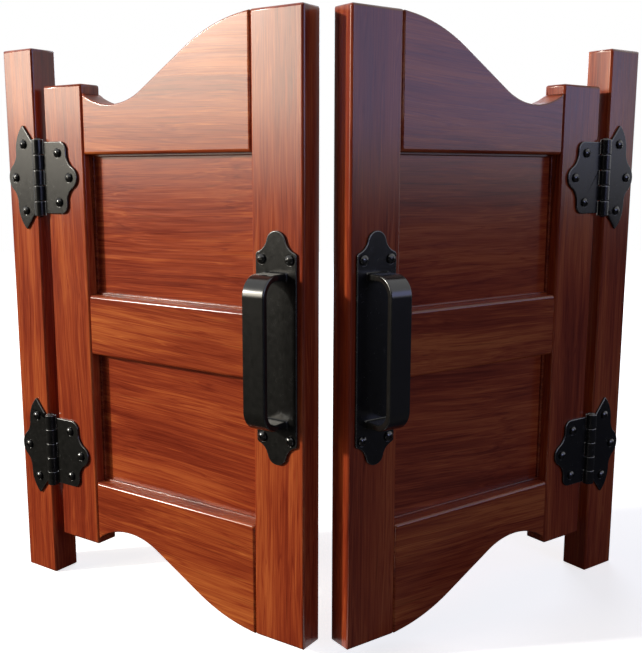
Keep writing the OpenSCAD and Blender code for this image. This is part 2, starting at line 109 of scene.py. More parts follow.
# %% Lamps
MIDDLE = Vector((0, 0, 0.6))
WARM, SUNNY = (1.0, 0.90, 0.72), (1.0, 0.96, 0.88)
BLUE, COOL, PALE = (0.20, 0.28, 1.0), (0.50, 0.55, 1.0), (0.80, 0.85, 1.0)
# A lamp's place, its width and height, its watts and its colour.
LAMPS = {
    "left_soft_box": ((-5.85, -1.25, 1.93), (3.0, 1.9), 162, WARM),
    "left_low_box": ((-5.85, -1.25, 0.76), (3.0, 0.42), 10, WARM),
    "sun_lamp": ((-5.65, -0.95, 2.30), (0.3, 0.3), 315, SUNNY),
    "right_soft_box": ((5.9, -1.2, 1.75), (2.6, 1.9), 20, BLUE),
    "right_fill": ((3.3, -3.8, 1.5), (1.5, 1.5), 46, COOL),
    "back_fill": ((0.8, 4.6, 2.0), (2.5, 1.6), 60, PALE),
}


def lamp(name, at, size, watts, colour):
    """A rectangular area lamp that faces the middle of the doors."""
    data = bpy.data.lights.new(name, "AREA")
    data.shape = "RECTANGLE"
    data.size, data.size_y = size
    data.energy = watts
    data.color = colour
    lamp_object = bpy.data.objects.new(name, data)
    lamp_object.location = at
    lamp_object.rotation_euler = (MIDDLE - Vector(at)).to_track_quat("-Z", "Y").to_euler()
    scene.collection.objects.link(lamp_object)


for name, settings in LAMPS.items():
    lamp(name, *settings)
print("lamps:", len(LAMPS))

# %% [markdown]
# ## Helpers for node trees
# Materials, the world and geometry trees are all built the same way: add a node, set its properties, and
# fill each socket with a value or with another node's output. That could be clicked together by hand, but a
# script can be read, changed and run again. One helper adds any node, and two more are short names for
# common ones.


# %% Node helpers
def add(tree, kind, inputs=None, **settings):
    """Adds a node, sets its properties, and fills or links the sockets that inputs names."""
    node = tree.nodes.new(kind)
    for name, value in settings.items():
        setattr(node, name, value)
    for socket, value in (inputs or {}).items():
        if isinstance(value, bpy.types.NodeSocket):
            tree.links.new(value, node.inputs[socket])
        else:
            node.inputs[socket].default_value = value
    return node


def math_node(tree, operation, *values):
    """The number that a Math node gives."""
    return add(tree, "ShaderNodeMath", dict(enumerate(values)), operation=operation).outputs[0]


def mapped(tree, value, source, target):
    """A value moved from one range to another, and held inside it."""
    return add(tree, "ShaderNodeMapRange", dict(enumerate((value, *source, *target)))).outputs[0]


print("node helpers:", add.__name__, math_node.__name__, mapped.__name__)

# %% [markdown]
# ## White background
# The background has to look white without lighting the doors, or their shaded sides would be lost. One
# bright world would do both at once. So the world has two strengths: a weak one for the light that falls on
# surfaces, and a strength of 1, which is white, for what the camera and the reflections see.

# %% Background
WHITE = (1, 1, 1, 1)
AMBIENT = 0.06
BACKDROP = 1.0


def seen_ray(tree):
    """1 for a ray of the camera, of a reflection or through glass, and 0 for light on a surface."""
    path = add(tree, "ShaderNodeLightPath").outputs
    shown = math_node(tree, "MAXIMUM", path["Is Camera Ray"], path["Is Glossy Ray"])
    return math_node(tree, "MAXIMUM", shown, path["Is Transmission Ray"])


world = bpy.data.worlds.new("studio")
scene.world = world
world.use_nodes = True
tree = world.node_tree
tree.nodes.clear()
ambient = add(tree, "ShaderNodeBackground", {"Color": WHITE, "Strength": AMBIENT})
backdrop = add(tree, "ShaderNodeBackground", {"Color": WHITE, "Strength": BACKDROP})
shown = add(tree, "ShaderNodeMixShader", {0: seen_ray(tree), 1: ambient.outputs[0], 2: backdrop.outputs[0]})
add(tree, "ShaderNodeOutputWorld", {"Surface": shown.outputs[0]})
print("world light on surfaces:", AMBIENT, "and in the picture:", BACKDROP)

# %% [markdown]
# ## Floor
# The floor has to melt into the white background and still keep the doors' shadow. White paint alone would
# look grey at this level of light. So what the camera sees is white paint with a glow, a little weaker near
# the doors, where the shadow lies. The light that the floor sends back to the doors is that of a plain grey
# floor.

# %% Floor finish
FLOOR_ALBEDO = (0.16, 0.155, 0.15, 1)
GLOW_DISTANCE = (0.8, 2.5)
GLOW_STRENGTH = (0.72, 1.0)


def new_material(name):
    """An empty material and its tree."""
    material = bpy.data.materials.new(name)
    material.use_nodes = True
    material.node_tree.nodes.clear()
    return material, material.node_tree


def length(tree, vector):
    """The length of a vector."""
    return add(tree, "ShaderNodeVectorMath", {0: vector}, operation="LENGTH").outputs["Value"]


floor_finish, tree = new_material("floor")
plain = add(tree, "ShaderNodeBsdfDiffuse", {"Color": FLOOR_ALBEDO})
pale = add(tree, "ShaderNodeBsdfDiffuse", {"Color": WHITE})
place = add(tree, "ShaderNodeTexCoord").outputs["Object"]
strength = mapped(tree, length(tree, place), GLOW_DISTANCE, GLOW_STRENGTH)
glow = add(tree, "ShaderNodeEmission", {"Color": WHITE, "Strength": strength})
white = add(tree, "ShaderNodeAddShader", {0: pale.outputs[0], 1: glow.outputs[0]})
shown = add(tree, "ShaderNodeMixShader", {0: seen_ray(tree), 1: plain.outputs[0], 2: white.outputs[0]})
add(tree, "ShaderNodeOutputMaterial", {"Surface": shown.outputs[0]})
print("glow of the floor:", *GLOW_STRENGTH)

# %% Floor sheet
FLOOR_HALF = 6.0
SQUARE = ((-1, -1), (1, -1), (1, 1), (-1, 1))


def sheet(name, corners, finish):
    """A flat four-cornered piece of the studio."""
    mesh = bpy.data.meshes.new(name)
    mesh.from_pydata(corners, [], [(0, 1, 2, 3)])
    mesh.materials.append(finish)
    piece = bpy.data.objects.new(name, mesh)
    scene.collection.objects.link(piece)
    return piece


sheet("floor", [(x * FLOOR_HALF, y * FLOOR_HALF, 0) for x, y in SQUARE], floor_finish)
print("floor:", 2 * FLOOR_HALF, "m wide")

# %% [markdown]
# ## Black cards
# White all round would lie as a grey veil on dark varnish and on black iron. A darker world would take the
# veil away, but the white background with it. Photographers keep white out of the reflections with black
# cards: here one lies on the floor and one stands below the soft box on each side, and one stands behind
# the camera. They show in reflections only and cast no shadow.

# %% Black cards
CARD_NEAR, CARD_FAR = 0.02, 5.4
CARD_FRONT, CARD_BACK = -4.4, 2.0
CARD_TOP = {"left": 0.55, "right": 0.48}
CARD_GREY = {"left": 0.04, "right": 0.12}
FRONT_TOP, FRONT_GREY = 2.6, 0.04
CARD_LIFT = 0.002


def black_card(name, corners, grey):
    """A dull card that shows in reflections only and casts no shadow."""
    finish, tree = new_material(name)
    dull = add(tree, "ShaderNodeBsdfDiffuse", {"Color": (grey, grey, grey, 1)})
    add(tree, "ShaderNodeOutputMaterial", {"Surface": dull.outputs[0]})
    card = sheet(name, corners, finish)
    card.visible_camera = False
    card.visible_diffuse = False
    card.visible_shadow = False
    print("card:", name)


for side, sign in SIDES.items():
    near, far, top = sign * CARD_NEAR, sign * CARD_FAR, CARD_TOP[side]
    black_card(f"{side}_lying_card", [
        (near, CARD_FRONT, CARD_LIFT), (near, CARD_BACK, CARD_LIFT),
        (far, CARD_BACK, CARD_LIFT), (far, CARD_FRONT, CARD_LIFT),
    ], CARD_GREY[side])
    black_card(f"{side}_standing_card", [
        (far, CARD_FRONT, 0), (far, CARD_BACK, 0), (far, CARD_BACK, top), (far, CARD_FRONT, top),
    ], CARD_GREY[side])
black_card("front_card", [
    (-CARD_FAR, CARD_FRONT, 0), (CARD_FAR, CARD_FRONT, 0),
    (CARD_FAR, CARD_FRONT, FRONT_TOP), (-CARD_FAR, CARD_FRONT, FRONT_TOP),
], FRONT_GREY)

# %% [markdown]
# ## Wood: the place in a board
# The boards are a red-brown hardwood under clear varnish. A picture of wood would tile and blur, so the
# grain is worked out from the place in the board. The stiles and posts have upright grain, and the rails
# and panels level grain. Each finish is therefore told how far its half is turned, which way its boards
# run, how steeply the grain slopes, and where in the log they were cut. A slow noise then makes the grain
# wander a little, as no tree grows quite straight.

# %% Place in a board
WANDER = 0.04
WANDER_STRETCH, WANDER_SCALE, WANDER_DETAIL = 0.55, 3.0, 2.0
MIDDLE_GREY = (0.5, 0.5, 0.5)


def vector_node(tree, operation, *values):
    """The vector that a Vector Math node gives."""
    return add(tree, "ShaderNodeVectorMath", dict(enumerate(values)), operation=operation).outputs[0]


def stretched(tree, vector, along):
    """A vector whose third part, the one along the grain, is shortened, so that patterns stretch that way."""
    return vector_node(tree, "MULTIPLY", vector, (1, 1, along))


def board_place(tree, turn, upright, slope, shift):
    """The place across the grain, into the board and along the grain, with the grain's wander."""
    place = add(tree, "ShaderNodeTexCoord").outputs["Object"]
    flat = add(tree, "ShaderNodeMapping", {"Vector": place, "Rotation": (0, 0, turn), "Location": shift})
    parts = add(tree, "ShaderNodeSeparateXYZ", {0: flat.outputs[0]}).outputs
    across, along = (parts["X"], parts["Z"]) if upright else (parts["Z"], parts["X"])
    across = math_node(tree, "MULTIPLY_ADD", along, slope, across)
    board = add(tree, "ShaderNodeCombineXYZ", {0: across, 1: parts["Y"], 2: along}).outputs[0]
    slow = {"Vector": stretched(tree, board, WANDER_STRETCH), "Scale": WANDER_SCALE, "Detail": WANDER_DETAIL}
    drift = add(tree, "ShaderNodeTexNoise", slow).outputs["Color"]
    drift = vector_node(tree, "SUBTRACT", drift, MIDDLE_GREY)
    drift = vector_node(tree, "MULTIPLY", drift, (WANDER, WANDER, WANDER))
    return vector_node(tree, "ADD", board, drift)


print("the grain wanders by up to", WANDER / 2, "m")

# %% [markdown]
# ## Wood: the grain
# Up close, wood is many patterns on top of each other: broad dark and golden bands, streaks that are lively
# in some places and calm in others, fine fibres, growth rings round a pith behind the face, and thin dark
# and golden veins. One noise can't show all of them, so each is a noise of its own, stretched along the
# grain, and adds its share to one number, the tone. A vein runs where its noise passes through one value,
# as a contour line does on a map.

# %% Grain patterns
# A pattern's stretch along the grain, then its scale, detail, roughness and distortion.
PATTERNS = {
    "broad": (0.12, 26.0, 1.5, 0.5, 0.4),
    "lively": (0.20, 16.0, 1.0, 0.55, 0.0),
    "streak": (0.020, 340.0, 3.0, 0.62, 0.3),
    "fibre": (0.018, 900.0, 2.0, 0.55, 0.0),
    "pore": (0.014, 420.0, 1.0, 0.55, 0.0),
    "vein": (0.030, 110.0, 2.0, 0.5, 0.5),
}


def noise(tree, vector, scale, detail, roughness=0.55, distortion=0.0):
    """The value of a noise texture."""
    settings = {
        "Vector": vector, "Scale": scale, "Detail": detail, "Roughness": roughness, "Distortion": distortion,
    }
    return add(tree, "ShaderNodeTexNoise", settings).outputs["Fac"]


def grain_patterns(tree, grain):
    """The value of every pattern, by its name."""
    values = {}
    for name, (along, *settings) in PATTERNS.items():
        values[name] = noise(tree, stretched(tree, grain, along), *settings)
    return values


print("grain patterns:", ", ".join(PATTERNS))

# %% Rings and veins
HALF = 0.5
RING_SPACING, RING_STRETCH, RING_WOBBLE = 0.014, 0.05, 9.0
PITH = (0, 0.045, 0)


def growth_rings(tree, grain, wobble):
    """A wave from 0 to 1 round the pith."""
    radius = length(tree, stretched(tree, vector_node(tree, "SUBTRACT", grain, PITH), RING_STRETCH))
    turns = math_node(tree, "MULTIPLY", radius, 2 * math.pi / RING_SPACING)
    wave = math_node(tree, "SINE", math_node(tree, "MULTIPLY_ADD", wobble, RING_WOBBLE, turns))
    return math_node(tree, "MULTIPLY_ADD", wave, HALF, HALF)


def vein_line(tree, value, at, half_width, strength):
    """A thin line where a pattern passes through one value."""
    off = math_node(tree, "ABSOLUTE", math_node(tree, "SUBTRACT", value, at))
    return mapped(tree, off, (0.0, half_width), (strength, 0.0))


print("growth rings:", RING_SPACING, "m apart")

# %% Tone of the grain
MIDDLE_TONE = 0.525
BROAD_SHARE, FIBRE_SHARE, RING_SHARE = 0.44, 0.28, 0.05
LIVELY_RANGE, STREAK_SHARE = (0.35, 0.65), (0.09, 0.31)
# The value that a vein follows, its half width and its strength.
DARK_VEIN = (0.5, 0.035, 0.08)
GOLDEN_VEIN = (0.60, 0.030, 0.08)


def layer(tree, tone, value, share):
    """A tone with one more pattern laid on it, which lightens where its value is over a half."""
    return math_node(tree, "MULTIPLY_ADD", math_node(tree, "SUBTRACT", value, HALF), share, tone)


def grain_tone(tree, grain, pattern):
    """The tone of the wood, low where it is dark and high where it is golden."""
    streak_share = mapped(tree, pattern["lively"], LIVELY_RANGE, STREAK_SHARE)
    tone = layer(tree, MIDDLE_TONE, pattern["broad"], BROAD_SHARE)
    tone = layer(tree, tone, pattern["streak"], streak_share)
    tone = layer(tree, tone, pattern["fibre"], FIBRE_SHARE)
    tone = layer(tree, tone, growth_rings(tree, grain, pattern["broad"]), RING_SHARE)
    tone = math_node(tree, "SUBTRACT", tone, vein_line(tree, pattern["vein"], *DARK_VEIN))
    return math_node(tree, "ADD", tone, vein_line(tree, pattern["vein"], *GOLDEN_VEIN))


print("middle tone:", MIDDLE_TONE)

# %% [markdown]
# ## Wood: the varnish
# Clear varnish gives the boards their gloss, and the grain shows through. A second coat layer could stand
# for it, but a plain glossy surface looks the same here and is simpler. The gloss changes slightly with the
# streaks, short dark pores break it up, and ledges that face upwards are duller, as dust and wear leave
# them.


# %% Colour and shader
def ramp(tree, factor, stops):
    """The colour of a ramp with these (place, colour) stops."""
    node = add(tree, "ShaderNodeValToRGB", {"Fac": factor})
    elements = node.color_ramp.elements
    while len(elements) < len(stops):
        elements.new(HALF)
    for element, (place, colour) in zip(elements, stops):
        element.position = place
        element.color = (*colour, 1)
    return node.outputs["Color"]


def close_surface(tree, colour, rough, height, bump, depth, gloss):
    """Ends a material's tree with its shader, from colour, roughness, height of the bumps, and gloss."""
    bumps = add(tree, "ShaderNodeBump", {"Strength": bump, "Distance": depth, "Height": height})
    shader = add(tree, "ShaderNodeBsdfPrincipled", {
        "Base Color": colour, "Roughness": rough, "Normal": bumps.outputs[0], "Specular IOR Level": gloss,
    })
    add(tree, "ShaderNodeOutputMaterial", {"Surface": shader.outputs[0]})


print("finish helpers:", ramp.__name__, close_surface.__name__)

# %% Varnish
PORE_RANGE, PORE_SHADE = (0.66, 0.74), (1.0, 0.70)
STREAK_RANGE, VARNISH_ROUGH = (0.3, 0.7), (0.155, 0.205)
LEDGE_RANGE, LEDGE_ROUGH = (0.6, 0.95), (0.0, 0.5)
FIBRE_HEIGHT = 0.5
WOOD_BUMP, WOOD_BUMP_DEPTH = 0.012, 0.0004


def varnished_wood(name, turn, upright, slope, shift, tones, gloss):
    """A finish for boards of one half: turn lays the half flat, and slope and shift say how they were cut."""
    material, tree = new_material(name)
    grain = board_place(tree, turn, upright, slope, shift)
    pattern = grain_patterns(tree, grain)
    pores = mapped(tree, pattern["pore"], PORE_RANGE, PORE_SHADE)
    colour = ramp(tree, grain_tone(tree, grain, pattern), tones)
    colour = vector_node(tree, "MULTIPLY", colour, pores)
    rough = mapped(tree, pattern["streak"], STREAK_RANGE, VARNISH_ROUGH)
    facing = add(tree, "ShaderNodeNewGeometry").outputs["Normal"]
    upwards = add(tree, "ShaderNodeSeparateXYZ", {0: facing}).outputs["Z"]
    rough = math_node(tree, "MAXIMUM", rough, mapped(tree, upwards, LEDGE_RANGE, LEDGE_ROUGH))
    height = math_node(tree, "MULTIPLY_ADD", pattern["fibre"], FIBRE_HEIGHT, pores)
    close_surface(tree, colour, rough, height, WOOD_BUMP, WOOD_BUMP_DEPTH, gloss)
    return material


print("varnish roughness:", *VARNISH_ROUGH)

# %% [markdown]
# ## Wood: tones and cuts
# Every board of the doors comes from the same wood, but not from the same place in the log. One finish for
# all would let the grain run straight through the joints. So each kind of board gets a finish of its own
# for each half: the rails a little more golden, the beads darker, which paints the shade of the recess round
# the panels, and the two panels with a different slope of the grain.

# %% Wood finishes
RAIL_TONES = [
    (0.36, (0.180, 0.0225, 0.0070)), (0.46, (0.262, 0.0395, 0.0118)),
    (0.54, (0.350, 0.0680, 0.0175)), (0.66, (0.490, 0.1250, 0.0300)),
]
BOARD_TONES = [
    (0.36, (0.150, 0.0170, 0.0060)), (0.46, (0.228, 0.0310, 0.0103)),
    (0.54, (0.305, 0.0500, 0.0145)), (0.66, (0.430, 0.0950, 0.0250)),
]
# Darker than the boards' tones, to paint the shade in the recess round the panels.
SHADED_BEAD_TONES = [
    (0.36, (0.080, 0.0100, 0.0035)), (0.46, (0.150, 0.0210, 0.0065)),
    (0.54, (0.225, 0.0380, 0.0105)), (0.66, (0.330, 0.0700, 0.0190)),
]
UPRIGHT, LEVEL = True, False
PANEL_SHIFT = (0.83, 0.03, 0.71)
BOARD_GLOSS, BEAD_GLOSS = 0.5, 0.45
# Which way a board runs, the slope of its grain, its shift in the log, its tones and its gloss.
LOG_CUTS = {
    "post": (UPRIGHT, 0.01, (0.71, 0.02, 0.30), BOARD_TONES, BOARD_GLOSS),
    "stile": (UPRIGHT, 0.01, (0, 0, 0), BOARD_TONES, BOARD_GLOSS),
    "rail": (LEVEL, 0.06, (0.53, 0.01, 0.36), RAIL_TONES, BOARD_GLOSS),
    "upper_panel": (LEVEL, -0.02, PANEL_SHIFT, BOARD_TONES, BOARD_GLOSS),
    "lower_panel": (LEVEL, 0.06, PANEL_SHIFT, BOARD_TONES, BOARD_GLOSS),
    "bead": (LEVEL, 0.06, PANEL_SHIFT, SHADED_BEAD_TONES, BEAD_GLOSS),
}
wood = {}
for side in SIDES:
    for board, cut in LOG_CUTS.items():
        wood[side, board] = varnished_wood(f"{side}_{board}_wood", flat_turn[side], *cut)
print("wood finishes:", len(wood))

# %% [markdown]
# ## Black iron
# The hinges and pulls are iron with a satin black coat. A plain black would look like plastic: up close
# such a coat is slightly mottled, and its fine grain breaks up the highlights. Two noises of different
# scale give both. The grips and the screws are touched more often than the plates' flats, so they are
# glossier. The plates' rims get a lighter and much glossier coat, which paints a bright highlight line.

# %% Iron finishes
MOTTLE = (130.0, 5.0, 0.7)
FINE_GRAIN = (1400.0, 2.0)
MOTTLE_RANGE = (0.25, 0.75)
DARK_TINT, LIGHT_TINT = (1.0, 1.0, 0.9), (1.0, 0.97, 0.9)
IRON_BUMP_DEPTH = 0.0003


def black_iron(name, roughness, grain, tones, gloss):
    """A black coat, from the ranges of its roughness and tones and the strength of its grain and gloss."""
    material, tree = new_material(name)
    place = add(tree, "ShaderNodeTexCoord").outputs["Object"]
    mottle = noise(tree, place, *MOTTLE)
    fine = noise(tree, place, *FINE_GRAIN)
    shades = [[tone * part for part in tint] for tone, tint in zip(tones, (DARK_TINT, LIGHT_TINT))]
    colour = ramp(tree, mottle, list(zip(MOTTLE_RANGE, shades)))
    rough = mapped(tree, mottle, MOTTLE_RANGE, roughness)
    close_surface(tree, colour, rough, fine, grain, IRON_BUMP_DEPTH, gloss)
    return material


# The range of a coat's roughness, the strength of its grain, the range of its tones, and its gloss.
IRON_COATS = {
    "plate": ((0.21, 0.29), 0.09, (0.005, 0.011), 0.37),
    # The rim coat is lighter and glossier than the plate's, to paint a highlight along the rounded edges.
    "rim": ((0.22, 0.30), 0.05, (0.012, 0.022), 1.0),
    "grip": ((0.17, 0.22), 0.06, (0.006, 0.011), 0.65),
    "screw": ((0.16, 0.20), 0.03, (0.006, 0.010), 0.70),
}
iron = {name: black_iron(f"{name}_iron", *coat) for name, coat in IRON_COATS.items()}
print("iron finishes:", ", ".join(iron))

# %% [markdown]
# ## Soft edges
# No real board or plate has a knife edge: sanding and varnish round it, and the round edge is what catches
# the light. The solids have a plain chamfer there, and drawing every board again would risk its size. So a
# copy of each solid is merged, its flat faces are joined again, and the edges that show get a bevel weight,
# which the Bevel modifier turns into a round. Where faces are still cut by a seam, the seam is moved off
# the sharp corners first, because a round edge would fold along it. A Weighted Normal modifier then keeps
# the big faces flat.

# %% Merged copy of a solid
MERGE = 1e-6
FLAT_ANGLE = math.radians(0.3)
SHARP_ANGLE = math.radians(50)
CORNER_EDGES = 3


def free_corners(bm):
    """Moves the seams of flat faces off sharp corners, where a round edge would fold along them."""
    for seam in [edge for edge in bm.edges if edge.is_manifold and edge.calc_face_angle() < FLAT_ANGLE]:
        for corner in seam.verts:
            folds = [edge for edge in corner.link_edges if edge.is_manifold]
            if sum(edge.calc_face_angle() > SHARP_ANGLE for edge in folds) < CORNER_EDGES:
                continue
            far = seam.other_vert(corner)
            face = max(seam.link_faces, key=lambda half: len(half.verts))
            beside = next(edge for edge in face.edges if corner in edge.verts and edge != seam)
            start = beside.other_vert(corner)
            if not any(start in edge.verts and far in edge.verts for edge in face.edges):
                bmesh.utils.face_split(face, start, far)
                bmesh.ops.dissolve_edges(bm, edges=[seam])
                break


def merged_solid(mesh):
    """A solid's mesh for editing, with its loose triangles joined to whole faces."""
    bm = bmesh.new()
    bm.from_mesh(mesh)
    bmesh.ops.remove_doubles(bm, verts=bm.verts, dist=MERGE)
    bmesh.ops.dissolve_limit(bm, angle_limit=FLAT_ANGLE, verts=bm.verts, edges=bm.edges)
    free_corners(bm)
    return bm


post = merged_solid(nodes["left_post"].data)
print("left post:", len(nodes["left_post"].data.polygons), "triangles, merged to", len(post.faces), "faces")
post.free()

# %% Round edges
CHAMFER_ANGLES = (math.radians(30), math.radians(60))
ROOM_SHARE = 0.42


def round_edges(piece, limit, width, segments):
    """Adds the modifiers that round a piece's edges and keep its flat faces flat."""
    bevel = piece.modifiers.new("round_edges", "BEVEL")
    bevel.limit_method = limit
    bevel.width = width
    bevel.segments = segments
    bevel.use_clamp_overlap = limit == "ANGLE"
    piece.modifiers.new("flat_faces", "WEIGHTED_NORMAL")


def softened(name, node, width, corner_width, short_edge, segments):
    """A copy of a solid with round edges: width on chamfers, up to corner_width on square corners."""
    mesh = nodes[node].data.copy()
    bm = merged_solid(mesh)
    weight = bm.edges.layers.float.new("bevel_weight_edge")
    for face in bm.faces:
        face.smooth = True
    for edge in bm.edges:
        if not (edge.is_manifold and edge.is_convex):
            continue
        angle = edge.calc_face_angle()
        if CHAMFER_ANGLES[0] < angle < CHAMFER_ANGLES[1]:
            edge[weight] = width / corner_width
        elif angle >= CHAMFER_ANGLES[1] and edge.calc_length() > short_edge:
            room = min(face.calc_area() for face in edge.link_faces) / edge.calc_length()
            edge[weight] = min(1.0, ROOM_SHARE * room / corner_width)
    bm.to_mesh(mesh)
    bm.free()
    mesh.materials.clear()
    piece = bpy.data.objects.new(name, mesh)
    scene.collection.objects.link(piece)
    round_edges(piece, "WEIGHT", corner_width, segments)
    return piece


print("chamfers are edges of", *(round(math.degrees(angle)) for angle in CHAMFER_ANGLES), "degrees")

# %% [markdown]
# ## Posts, stiles and rails
# Each leaf is a frame of two stiles and three rails, and hangs on a square post. The curved edges of the
# rails, the chamfers and the joints are in the solids already, so each board is a softened copy of its
# solid with the finish for its kind. Very short edges, at the ends of chamfers, stay sharp, because a round
# that is wider than its edge is long would fold over itself.

# %% Boards
MM = 0.001
# Width on chamfers and on corners, the shortest edge that is rounded, and the steps of the round.
BOARD_EDGES = (1.15 * MM, 2.2 * MM, 2.2 * MM, 3)
BOARD_FINISH = {
    "post": "post", "hinge_stile": "stile", "meeting_stile": "stile",
    "top_rail": "rail", "middle_rail": "rail", "bottom_rail": "rail",
}


def dress(piece, node, finishes):
    """Lets a piece stand for a solid: it gets its finishes, and rides on the solid's body."""
    for finish in finishes:
        piece.data.materials.append(finish)
    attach(piece, body_of[node])
    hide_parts(node)


for side in SIDES:
    for part, finish in BOARD_FINISH.items():
        node = f"{side}_{part}"
        dress(softened(f"{node}_board", node, *BOARD_EDGES), node, [wood[side, finish]])
print("boards:", len(SIDES) * len(BOARD_FINISH))

# %% [markdown]
# ## Panels and beads
# Thin panels sit in grooves of the frame, and mitred beads run round them. Little of their edges shows, so
# copies with round edges would gain nothing. They keep their solids, whose shapes are already right, and
# only get their finish.

# %% Panels and beads
LEVELS = ("upper", "lower")


def refinish(node, finish):
    """Gives a solid a finish and leaves its shape alone."""
    mesh = nodes[node].data
    mesh.materials.clear()
    mesh.materials.append(finish)


for side in SIDES:
    for level in LEVELS:
        refinish(f"{side}_{level}_panel", wood[side, f"{level}_panel"])
        refinish(f"{side}_{level}_beads", wood[side, "bead"])
print("panels:", len(SIDES) * len(LEVELS))

# %% [markdown]
# ## Hinges and pulls
# A hinge has a plate with pointed horns on the post, a plate with rounded corners on the leaf, and knuckles
# of both on one pin. A pull has a long plate and a wide grip. The plates' rims get a painted highlight, a
# lighter and glossier coat. That could be painted by hand, but the Bevel modifier can give the faces that it
# makes a material of their own. So the plates carry two finishes, and the highlight lies on every rounded
# edge.

# %% Hinges and pulls
PLATE_EDGES = (0.5 * MM, 1.2 * MM, 0, 4)
GRIP_EDGES = (1.0 * MM, 2.0 * MM, 0, 4)
HIGHLIGHT_RIM_FINISH = 1
HINGE_PLATES = [f"{level}_hinge_{part}" for level in LEVELS for part in ("post_plate", "leaf_plate")]
PLATES = ["pull_plate", *HINGE_PLATES]
for side in SIDES:
    for part in PLATES:
        node = f"{side}_{part}"
        plate = softened(f"{node}_iron", node, *PLATE_EDGES)
        # The rounded edges get the rim coat, which paints the highlight line.
        plate.modifiers["round_edges"].material = HIGHLIGHT_RIM_FINISH
        dress(plate, node, [iron["plate"], iron["rim"]])
    node = f"{side}_pull_grip"
    dress(softened(f"{node}_iron", node, *GRIP_EDGES), node, [iron["grip"]])
    for level in LEVELS:
        refinish(f"{side}_{level}_hinge_pin", iron["grip"])
print("plates:", len(SIDES) * len(PLATES))

# %% [markdown]
# ## Screws: their places
# The same domed screw holds every plate. The solids of the screws are in the frame, so their places don't
# have to be worked out again: each loose part of a screw node is one screw, and its reach along three
# directions gives the highest point of its head.


# %% Loose parts
def loose_parts(mesh):
    """The places of the vertices of each separate shell of a mesh."""
    bm = bmesh.new()
    bm.from_mesh(mesh)
    bmesh.ops.remove_doubles(bm, verts=bm.verts, dist=MERGE)
    left = set(bm.verts)
    shells = []
    while left:
        todo = [left.pop()]
        shell = []
        while todo:
            vert = todo.pop()
            shell.append(vert.co.copy())
            for edge in vert.link_edges:
                other = edge.other_vert(vert)
                if other in left:
                    left.remove(other)
                    todo.append(other)
        shells.append(shell)
    bm.free()
    return shells


print("screws of the left pull:", len(loose_parts(nodes["left_pull_screws"].data)))

# %% Places of the screws
UP = Vector((0, 0, 1))
PLACE_DIGITS = 5


def screw_tip(shell, outward):
    """The middle of a screw's head at its highest point, from the shell's reach in three directions."""
    sideways = outward.cross(UP)
    reach = {}
    for name, axis in (("out", outward), ("side", sideways), ("up", UP)):
        along = [vert.dot(axis) for vert in shell]
        reach[name] = (min(along), max(along))
    middle = sideways * sum(reach["side"]) / 2
    middle.z = sum(reach["up"]) / 2
    return middle + outward * reach["out"][1]


screw_nodes = {"posts": [], "left_leaf": [], "right_leaf": []}
for name in sorted(nodes):
    if name.endswith("_screws"):
        screw_nodes[body_of[name]].append(name)

screw_places = {}
for body, names in screw_nodes.items():
    screw_places[body] = []
    for name in names:
        outward = front[name.split("_")[0]]
        for shell in loose_parts(nodes[name].data):
            screw_places[body].append((screw_tip(shell, outward), outward))
    screw_places[body].sort(key=lambda place: tuple(round(value, PLACE_DIGITS) for value in place[0]))
    print(body, "has", len(screw_places[body]), "screws")

# %% [markdown]
# ## Screws: one screw
# A screw has a domed head with a cross cut into it, and a shank. It could be modelled by hand and copied,
# but in a geometry node tree its sizes stay named inputs. The head is the part of a ball inside a cylinder,
# and two crossed bars are cut out of its top.

# %% Sizes of a screw
HEAD_R, HEAD_H, RIM_H = 6.0 * MM, 5.4 * MM, 3.0 * MM
DOME_H = HEAD_H - RIM_H
DOME_R = (HEAD_R ** 2 + DOME_H ** 2) / (2 * DOME_H)
SCREW_INPUTS = {
    "Head radius": HEAD_R, "Head height": HEAD_H, "Dome radius": DOME_R, "Slot length": 6.4 * MM,
    "Slot width": 1.3 * MM, "Slot depth": 2.1 * MM, "Shank radius": 2.3 * MM, "Shank length": 24 * MM,
}


def raised(tree, shape, height):
    """A shape moved up by a height."""
    offset = add(tree, "ShaderNodeCombineXYZ", {2: height}).outputs[0]
    return add(tree, "GeometryNodeTransform", {"Geometry": shape, "Translation": offset}).outputs[0]


def rod(tree, radius, depth, steps):
    """A cylinder about the origin."""
    sizes = {"Vertices": steps, "Radius": radius, "Depth": depth}
    return add(tree, "GeometryNodeMeshCylinder", sizes).outputs["Mesh"]


print("screw head:", round(2 * HEAD_R / MM, 1), "mm wide and", round(HEAD_H / MM, 1), "mm high")

# %% Screw head
ROUND_STEPS = 32


